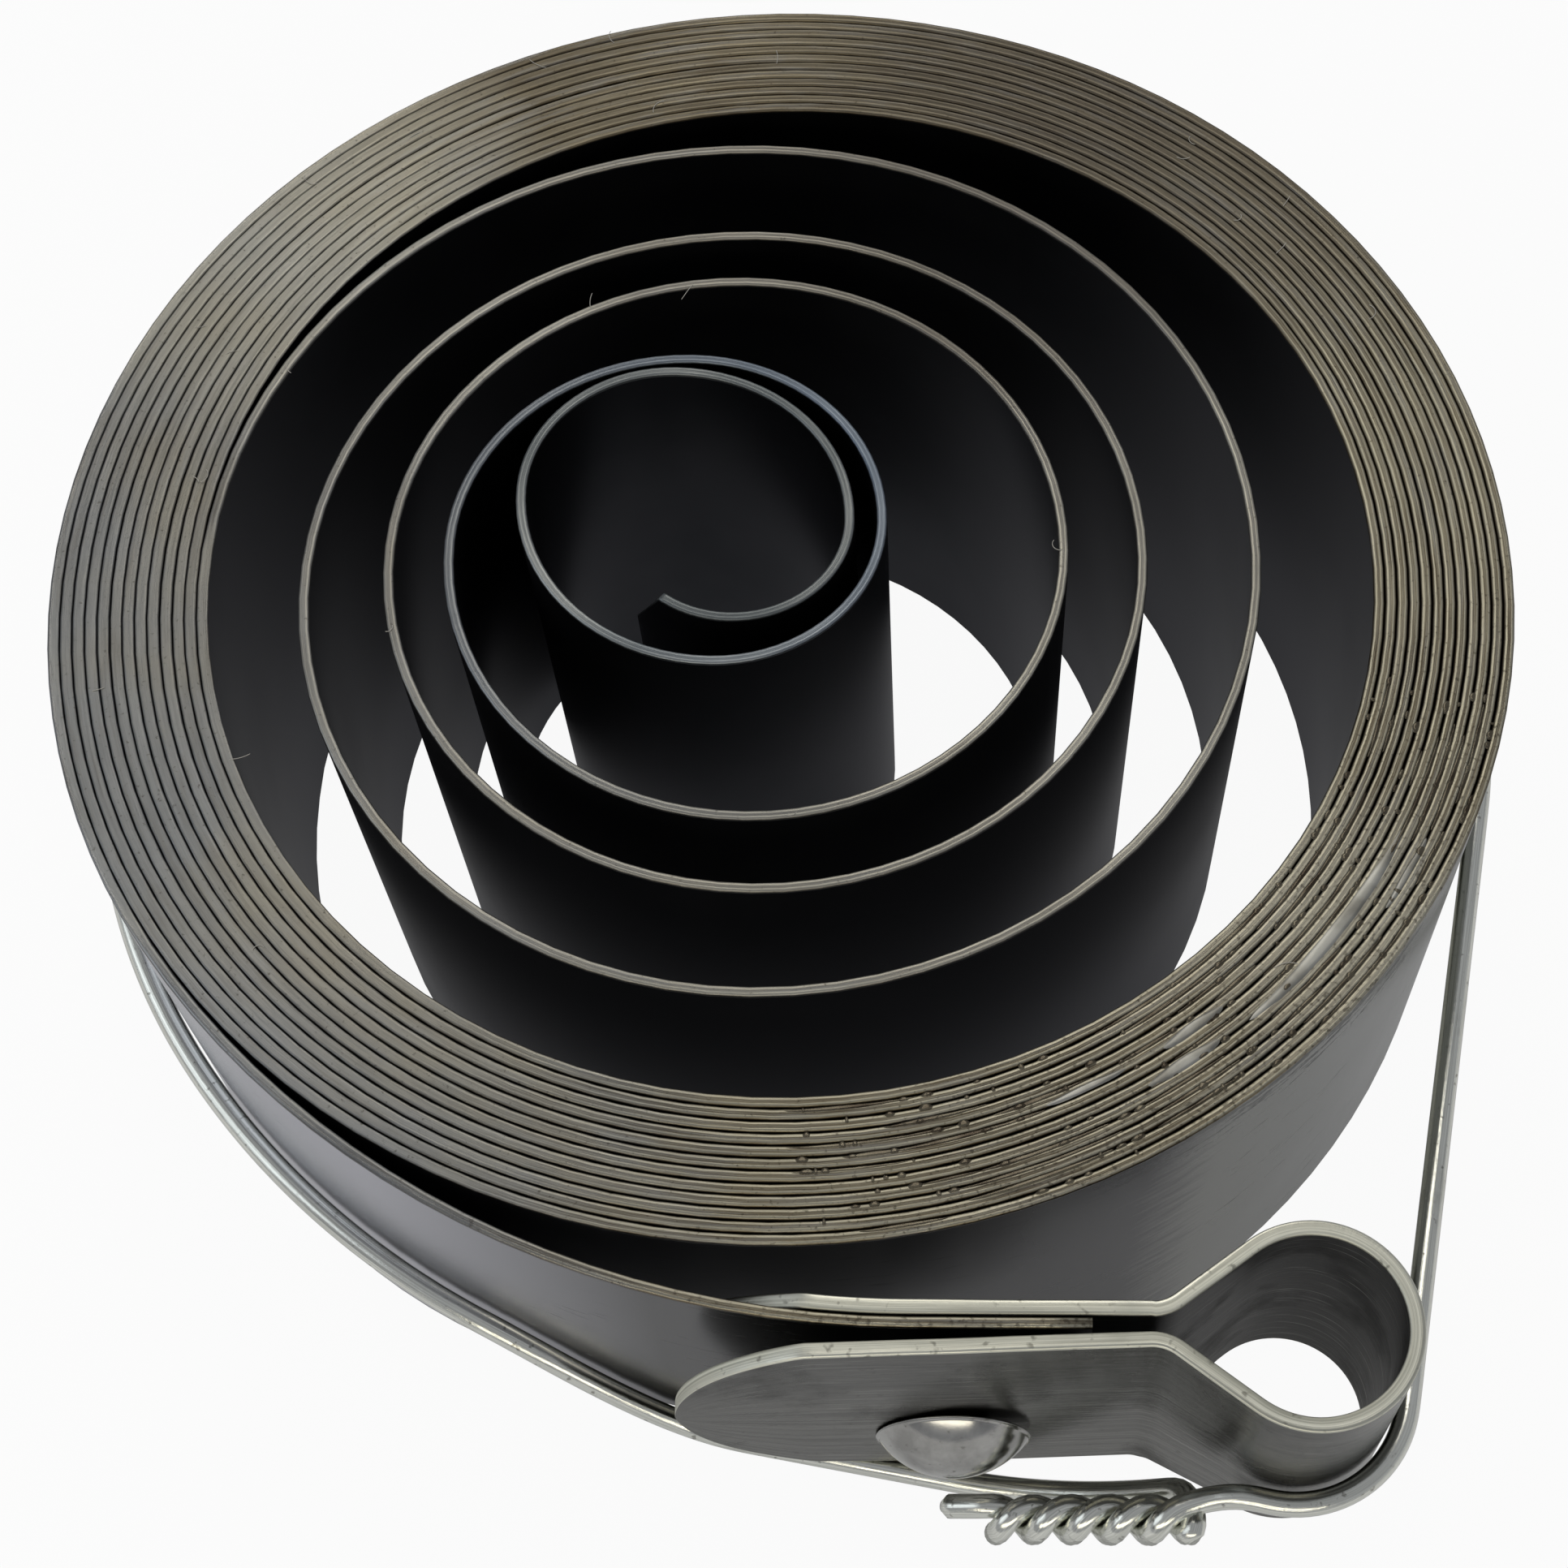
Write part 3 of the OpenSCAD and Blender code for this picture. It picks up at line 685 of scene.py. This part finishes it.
def strip_finish():
    """Tempered dark steel: near-black walls, edges drawn with fine long lines, blue near the eye.

    The edges are bronze at the right and grey at the left, with painted highlights on their shoulders,
    patches along each turn, a painted sheen at two places and painted shade at one o'clock, and towards the
    lower right they are specked with dried oil. The outermost wall is stained, and its brighter left and its
    dark and bright stretches at the front are painted reflections.
    """
    f = Finish("strip_blued_steel")
    uv = f.surface_uv()
    here = f.place()
    edge = f.mark("edge")
    run = f.mark("run")
    turn = f.mark("turn")
    across = f.mark("across")
    x, y = f.split(here)[:2]
    lines = f.noise(f.scaled(uv, (70.0, 26000.0, 0.0)), 1.0, 5.0, 0.6)
    streak = f.noise(f.scaled(uv, (260.0, 9000.0, 0.0)), 1.0, 3.0, 0.6)
    long_tone = f.noise(f.scaled(uv, (34.0, 0.0, 0.0)), 1.0, 3.0, 0.5)
    grain = f.noise(here, 5200.0, 3.0, 0.6)
    cloud = f.noise(here, 130.0, 3.0, 0.5)
    oily = f.ramp(x * 24.0 - y * 25.0, 0.62, 1.0)
    tone = (long_tone - 0.5) * 1.5 + (cloud - 0.5) * 1.2 + (streak - 0.5) * 0.9 + 0.5
    brown = f.mix(f.ramp(tone, 0.25, 0.8), (0.095, 0.074, 0.048, 1), (0.215, 0.182, 0.122, 1))
    grey = f.mix(f.ramp(tone, 0.2, 0.8), (0.148, 0.151, 0.152, 1), (0.268, 0.274, 0.274, 1))
    warm = f.ramp(x * 30.0 + y * 10.0 + (cloud - 0.5) * 1.2, -0.75, -0.2)
    bronze = f.mix(warm, grey, brown)
    patch = f.noise(f.scaled(uv, (230.0, 900.0, 0.0)), 1.0, 4.0, 0.6)
    bronze = f.mix(f.ramp(patch, 0.5, 0.66) * 0.5, bronze, (0.245, 0.248, 0.25, 1))
    bronze = f.mix(f.ramp(patch, 0.46, 0.34) * 0.45, bronze, (0.085, 0.07, 0.052, 1))
    dx = x - PACK_C[0] * MM
    dy = y - PACK_C[1] * MM
    reach = (dx * dx + dy * dy + 1e-9) ** 0.5
    # Painted sheen: the edges paled round a quarter past ten and a quarter past four about the pack's
    # centre.
    painted_sheen_left = f.ramp((0.6 * dy - 0.8 * dx) / reach, 0.90, 1.0) * 0.5
    painted_sheen = painted_sheen_left + f.ramp((0.8 * dx - 0.6 * dy) / reach, 0.97, 1.0) * 0.4
    bronze = f.mix((painted_sheen * (0.5 + streak)).clamp(), bronze, (0.6, 0.59, 0.52, 1))
    # Painted highlights: pale lines on both shoulders of each edge, stronger at the right and fainter at the
    # back.
    pale_edge_band = across + (streak - 0.5) * 0.5
    shoulder_highlight = f.ramp(pale_edge_band, 0.24, 0.40) * f.ramp(pale_edge_band, 0.86, 0.62)
    far = f.ramp(y, 0.0, 0.02)
    pale = f.mix(warm, (0.41, 0.415, 0.405, 1), (0.50, 0.475, 0.37, 1))
    shoulder_highlight = shoulder_highlight * (0.35 + 0.45 * f.ramp(x, -0.012, 0.006)) * (1.0 - 0.7 * far)
    bronze = f.mix(shoulder_highlight, bronze, pale)
    loose = 1.0 - f.ramp(turn, 0.78, 0.81)
    bronze = f.mix(loose * 0.45, bronze, (0.40, 0.40, 0.385, 1))
    # Painted shade: the edges darkened round one o'clock about the pack's centre.
    dim = f.ramp((dx * 0.5 + dy * 0.866) / reach, 0.80, 1.0) * 0.6
    bronze = f.mix(dim, bronze, (0.075, 0.065, 0.055, 1))
    bronze = f.mix(f.ramp(lines, 0.56, 0.74) * 0.4, bronze, (0.08, 0.067, 0.05, 1))
    speck = f.ramp(grain + 0.10 * oily, 0.63, 0.74)
    bronze = f.mix(speck * 0.6, bronze, (0.045, 0.036, 0.026, 1))
    inner = 1.0 - f.ramp(run, 0.055, 0.10)
    steel = f.mix(f.ramp(tone, 0.3, 0.75), (0.15, 0.165, 0.17, 1), (0.34, 0.355, 0.35, 1))
    blue_band = f.ramp(run, 0.035, 0.05) * (1.0 - f.ramp(run, 0.095, 0.112))
    steel = f.mix(blue_band * 0.5, steel, (0.12, 0.17, 0.26, 1))
    rim = f.mix(inner, bronze, steel)
    wall = f.mix(f.ramp(cloud, 0.35, 0.7), (0.036, 0.038, 0.043, 1), (0.058, 0.059, 0.066, 1))
    outer_turn = f.ramp(turn, 0.985, 1.0) * f.mark("outer")
    pull = f.noise(f.scaled(uv, (420.0, 2600.0, 0.0)), 1.0, 4.0, 0.6)
    stain = f.ramp(pull, 0.60, 0.72) * f.ramp(cloud, 0.45, 0.6)
    level = f.mark("depth") + (grain - 0.5) * 0.2 + (pull - 0.5) * 0.6
    spill = f.ramp(level, 0.93, 0.99) * f.ramp(x, 0.012, 0.020)
    stain = (stain + spill).clamp()
    # Painted reflections on the outermost wall: brightest at the left, dark at the front up to a ragged line
    # at the lower right, brighter past it; behind, one even tone.
    left = f.ramp(x, -0.0015, -0.011)
    lit = f.ramp(x + (pull - 0.5) * 0.005, 0.0148, 0.0172)
    shade = f.mix(lit, (0.12, 0.12, 0.113, 1), (0.34, 0.344, 0.31, 1))
    skin = f.mix(left, shade, (0.56, 0.56, 0.60, 1))
    skin = f.mix(f.ramp(y, -0.002, -0.012), (0.34, 0.343, 0.325, 1), skin)
    skin = f.mix(stain * 0.7, skin, (0.06, 0.06, 0.058, 1))
    wall = f.mix(outer_turn, wall, skin)
    colour = f.mix(edge, wall, rim)
    rough = 0.36 - 0.13 * outer_turn + 0.02 * edge + 0.14 * (lines - 0.5) * edge
    rough = rough + 0.10 * (cloud - 0.5) + 0.15 * stain * outer_turn
    height = lines * edge + (0.5 + oily) * grain * edge + 0.08 * cloud
    normal = f.bump(height, 0.4)
    return f.metal(colour, rough, normal, **{"Specular Tint": (0.78, 0.78, 0.8, 1)})


def clip_finish():
    """Bright sheet steel: long drawing lines, darkened faces with painted shade inside, pale edges from
    wear, dull stains.
    """
    f = Finish("clip_bright_steel")
    uv = f.surface_uv()
    here = f.place()
    edge = f.mark("edge")
    lines = f.noise(f.scaled(uv, (70.0, 3600.0, 0.0)), 1.0, 6.0, 0.7)
    cross = f.noise(f.scaled(uv, (9000.0, 160.0, 0.0)), 1.0, 4.0, 0.6)
    scratch = f.noise(f.scaled(uv, (240.0, 8000.0, 0.0)), 1.0, 2.0, 0.5)
    stain = f.noise(here, 300.0, 5.0, 0.6)
    speck = f.noise(here, 2600.0, 2.0, 0.5)
    face = f.mix(f.ramp(lines, 0.4, 0.62), (0.085, 0.085, 0.078, 1), (0.20, 0.199, 0.184, 1))
    # Painted shade: the inner faces, inside the loop and against the strip, darkened nearly to black.
    face = f.mix(f.mark("inner") * 0.86, face, (0.022, 0.022, 0.021, 1))
    face = f.mix(f.ramp(stain, 0.54, 0.72) * 0.6, face, (0.045, 0.044, 0.04, 1))
    # The faces darker in streaks towards their top.
    upper_streaks = f.ramp(f.split(here)[2] + (stain - 0.5) * 0.006, 0.0040, 0.0062) * f.ramp(lines, 0.47, 0.6)
    face = f.mix(upper_streaks * 0.65, face, (0.036, 0.035, 0.034, 1))
    face = f.mix(f.ramp(scratch, 0.62, 0.72) * 0.55, face, (0.40, 0.40, 0.37, 1))
    face = f.mix(f.ramp(scratch, 0.38, 0.28) * 0.7, face, (0.03, 0.03, 0.028, 1))
    face = f.mix(f.ramp(speck, 0.66, 0.74) * 0.6, face, (0.05, 0.047, 0.04, 1))
    pale_edge_band = f.mix(f.ramp(lines, 0.4, 0.62), (0.48, 0.48, 0.41, 1), (0.86, 0.86, 0.75, 1))
    pale_edge_band = f.mix(f.ramp(speck, 0.64, 0.74) * 0.6, pale_edge_band, (0.13, 0.125, 0.10, 1))
    colour = f.mix(edge, face, pale_edge_band)
    rough = 0.19 + 0.14 * edge + 0.22 * f.mark("inner")
    rough = rough + 0.20 * f.ramp(stain, 0.5, 0.75) + 0.12 * (lines - 0.5)
    normal = f.bump(lines + 0.35 * cross + 0.6 * speck, 0.25)
    return f.metal(colour, rough, normal, **{"Specular Tint": (0.8, 0.8, 0.8, 1)})


def rivet_finish():
    """Bright steel with dull clouds and small pits."""
    f = Finish("rivet_steel")
    here = f.place()
    stain = f.noise(here, 700.0, 5.0, 0.6)
    pits = f.noise(here, 3000.0, 3.0, 0.6)
    colour = f.mix(f.ramp(stain, 0.38, 0.66), (0.30, 0.297, 0.285, 1), (0.46, 0.457, 0.44, 1))
    colour = f.mix(f.ramp(pits, 0.64, 0.74) * 0.6, colour, (0.08, 0.074, 0.06, 1))
    rough = 0.17 + 0.14 * (stain - 0.5)
    normal = f.bump(stain + 0.5 * pits, 0.16)
    return f.metal(colour, rough, normal)


def wire_finish():
    """Drawn bright wire: fine lines along it and a few dull stretches."""
    f = Finish("wire_bright_steel")
    uv = f.surface_uv()
    here = f.place()
    lines = f.noise(f.scaled(uv, (150.0, 14000.0, 0.0)), 1.0, 5.0, 0.65)
    dull = f.noise(f.scaled(uv, (260.0, 700.0, 0.0)), 1.0, 4.0, 0.6)
    speck = f.noise(here, 3500.0, 2.0, 0.5)
    colour = f.mix(f.ramp(lines, 0.35, 0.68), (0.58, 0.59, 0.54, 1), (0.88, 0.89, 0.83, 1))
    colour = f.mix(f.ramp(dull, 0.58, 0.75) * 0.5, colour, (0.22, 0.21, 0.17, 1))
    colour = f.mix(f.ramp(speck, 0.66, 0.74) * 0.6, colour, (0.12, 0.11, 0.09, 1))
    rough = 0.15 + 0.16 * (lines - 0.5) + 0.25 * f.ramp(dull, 0.55, 0.8)
    return f.metal(colour, rough, f.bump(lines + 0.5 * speck, 0.25))


def oil_finish():
    """Brown clock oil: a dark, glossy, half-clear film."""
    f = Finish("oil_film")
    here = f.place()
    cloud = f.noise(here, 900.0, 3.0, 0.5)
    colour = f.mix(f.ramp(cloud, 0.35, 0.65), (0.055, 0.040, 0.024, 1), (0.16, 0.14, 0.10, 1))
    return f.metal(colour, 0.10, None, Metallic=0.55, Alpha=0.72)


def pool_finish():
    """The same oil in a pool, with a paler and duller top."""
    f = Finish("oil_pool")
    cloud = f.noise(f.place(), 500.0, 3.0, 0.5)
    colour = f.mix(f.ramp(cloud, 0.4, 0.62), (0.26, 0.255, 0.23, 1), (0.46, 0.46, 0.43, 1))
    return f.metal(colour, 0.4, None, Alpha=0.86)


def lint_finish():
    """Pale dusty thread."""
    f = Finish("lint_pale")
    return f.metal((0.55, 0.53, 0.48, 1), 0.8, None, Metallic=0.0)


def dress(obj, material, node):
    """Gives a finished piece its material and body, and hides the CAD node that it stands for."""
    obj.data.materials.append(material)
    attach(obj, "root")
    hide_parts(node)


dress(make_strip(), strip_finish(), "spring_strip")
dress(make_clip(), clip_finish(), "loop_clip")
dress(make_rivet(), rivet_finish(), "rivet")
dress(make_wire(), wire_finish(), "binding_wire")
dress(make_oil(), oil_finish(), "spring_strip")
dress(make_puddles(), pool_finish(), "spring_strip")
dress(make_lint(), lint_finish(), "spring_strip")


def make_floor():
    """A wide pale floor: nearly white to the camera, fainter in reflections, and it takes some shadow."""
    mesh = bpy.data.meshes.new("floor")
    size = 3000.0
    corners = np.array([[-size, -size, FLOOR_Z], [size, -size, FLOOR_Z],
                        [size, size, FLOOR_Z], [-size, size, FLOOR_Z]])
    mesh.from_pydata((corners * MM).tolist(), [], [[0, 1, 2, 3]])
    floor = bpy.data.objects.new("floor", mesh)
    bpy.context.scene.collection.objects.link(floor)
    f = Finish("floor_white")
    camera_ray = f.node("ShaderNodeLightPath", output="Is Camera Ray")
    glossy_ray = f.node("ShaderNodeLightPath", output="Is Glossy Ray")
    seen = (camera_ray * 0.94 + glossy_ray * 0.25).clamp()
    matte = f.node("ShaderNodeBsdfDiffuse", None, {"Color": (0.86, 0.86, 0.87, 1)})
    glow = f.node("ShaderNodeEmission", None, {"Color": (1, 1, 1, 1), "Strength": 1.0})
    both = f.node("ShaderNodeMixShader", None, {0: seen, 1: matte, 2: glow})
    f.tree.links.new(both.socket, f.out.inputs["Surface"])
    mesh.materials.append(f.material)


make_floor()


def add_lamp(name, place, aim, size, power, colour):
    """A soft box: a rectangular area lamp at place, turned to aim."""
    lamp = bpy.data.lights.new(name, "AREA")
    lamp.shape = "RECTANGLE"
    lamp.size, lamp.size_y = size[0] * MM, size[1] * MM
    lamp.energy = power
    lamp.color = colour
    obj = bpy.data.objects.new(name, lamp)
    bpy.context.scene.collection.objects.link(obj)
    back = unit(np.array(place, float) - np.array(aim, float))
    right = unit(np.cross([0, 0, 1.0], back) + np.array([1e-6, 0, 0]))
    up = np.cross(back, right)
    m = np.eye(4)
    m[:3, 0], m[:3, 1], m[:3, 2], m[:3, 3] = right, up, back, np.array(place) * MM
    obj.matrix_world = Matrix(m.tolist())


add_lamp("back_box", (-10, 230, 330), (0, 0, 0), (120, 300), 0.26, (1.0, 0.95, 0.85))
add_lamp("front_box", (-60, -360, 180), (0, 0, 0), (460, 80), 0.32, (1.0, 0.93, 0.76))
add_lamp("left_box", (-380, -40, 230), (0, 0, 0), (260, 260), 0.2, (0.88, 0.94, 1.0))

world = bpy.data.worlds.new("studio")
bpy.context.scene.world = world
world.use_nodes = True
world.node_tree.nodes["Background"].inputs["Color"].default_value = (0.93, 0.95, 1.0, 1)
world.node_tree.nodes["Background"].inputs["Strength"].default_value = 0.36

CAMERA_PLACE = np.array([8.328, -56.733, 92.974])
CAMERA_AHEAD = unit(np.array([0.0349, 0.4432, -0.8958]))
CAMERA_RIGHT = unit(np.array([0.9993, -0.0053, 0.0363]))
CAMERA_FOCAL_PX = 3336.594
CAMERA_CENTRE_PX = (1295.716, 1106.138)
IMAGE_PX = 1932
camera = bpy.data.cameras.new("photo_camera")
camera.sensor_width = 36.0
camera.lens = CAMERA_FOCAL_PX / IMAGE_PX * camera.sensor_width
camera.shift_x = (IMAGE_PX / 2 - CAMERA_CENTRE_PX[0]) / IMAGE_PX
camera.shift_y = (CAMERA_CENTRE_PX[1] - IMAGE_PX / 2) / IMAGE_PX
camera.clip_start = 0.001
camera_obj = bpy.data.objects.new("photo_camera", camera)
bpy.context.scene.collection.objects.link(camera_obj)
pose = np.eye(4)
pose[:3, 0] = CAMERA_RIGHT
pose[:3, 1] = np.cross(CAMERA_RIGHT, CAMERA_AHEAD)
pose[:3, 2] = -CAMERA_AHEAD
pose[:3, 3] = CAMERA_PLACE * MM
camera_obj.matrix_world = Matrix(pose.tolist())
bpy.context.scene.camera = camera_obj
bpy.context.scene.view_settings.view_transform = "Standard"
